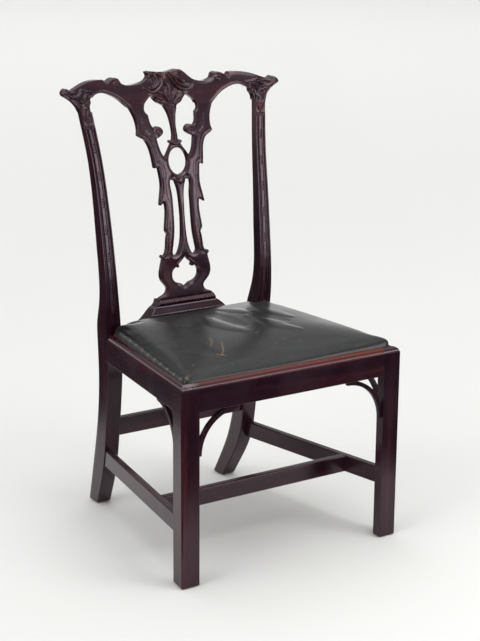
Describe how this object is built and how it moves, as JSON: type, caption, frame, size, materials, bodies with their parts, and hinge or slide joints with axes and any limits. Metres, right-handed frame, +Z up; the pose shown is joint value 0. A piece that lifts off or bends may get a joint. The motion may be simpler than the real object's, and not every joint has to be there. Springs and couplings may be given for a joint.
{
  "type": "side chair",
  "caption": "Mahogany side chair with a shaped crest rail, a pierced and carved splat, fluted posts, square legs joined by stretchers, curved corner brackets and a leather drop-in seat.",
  "frame": {"origin": "middle of the footprint on the floor, between the front of the front legs and the heels of the rear feet", "axes": "+Z up, -Y to the front of the chair, +X to the right as seen from the front; left and right in node names are as seen from the front"},
  "size_m": [0.5384, 0.534, 0.958],
  "materials": {
    "mahogany": "polished, dark and worn",
    "seat_frame_wood": "bare, aged",
    "leather": "satin, creased",
    "webbing": "woven jute",
    "sackcloth": "coarse weave",
    "stuffing": "curled hair",
    "iron": "dull, dark"
  },
  "bodies": {
    "frame": {"front_seat_rail": "mahogany", "rear_seat_rail": "mahogany", "crest_rail": "mahogany", "splat": "mahogany", "splat_shoe": "mahogany", "medial_stretcher": "mahogany", "rear_stretcher": "mahogany", "front_leg_left": "mahogany", "front_leg_right": "mahogany", "rear_post_left": "mahogany", "rear_post_right": "mahogany", "side_seat_rail_left": "mahogany", "side_seat_rail_right": "mahogany", "side_stretcher_left": "mahogany", "side_stretcher_right": "mahogany", "front_bracket_left": "mahogany", "front_bracket_right": "mahogany", "side_bracket_left": "mahogany", "side_bracket_right": "mahogany", "front_corner_block_left": "seat_frame_wood", "front_corner_block_right": "seat_frame_wood", "rear_corner_block_left": "seat_frame_wood", "rear_corner_block_right": "seat_frame_wood", "bracket_brads": "iron", "block_screws": "iron"},
    "drop_in_seat": {"seat_front_bar": "seat_frame_wood", "seat_rear_bar": "seat_frame_wood", "seat_left_bar": "seat_frame_wood", "seat_right_bar": "seat_frame_wood", "lengthwise_webbing": "webbing", "crosswise_webbing": "webbing", "webbing_tacks": "iron", "sackcloth": "sackcloth", "stuffing": "stuffing", "leather_cover": "leather", "leather_tacks": "iron"}
  },
  "joints": [
    {"name": "seat_lift", "type": "slide", "parent": "frame", "child": "drop_in_seat", "axis": [0, 0, 1], "range_m": [0, 0.15]}
  ]
}
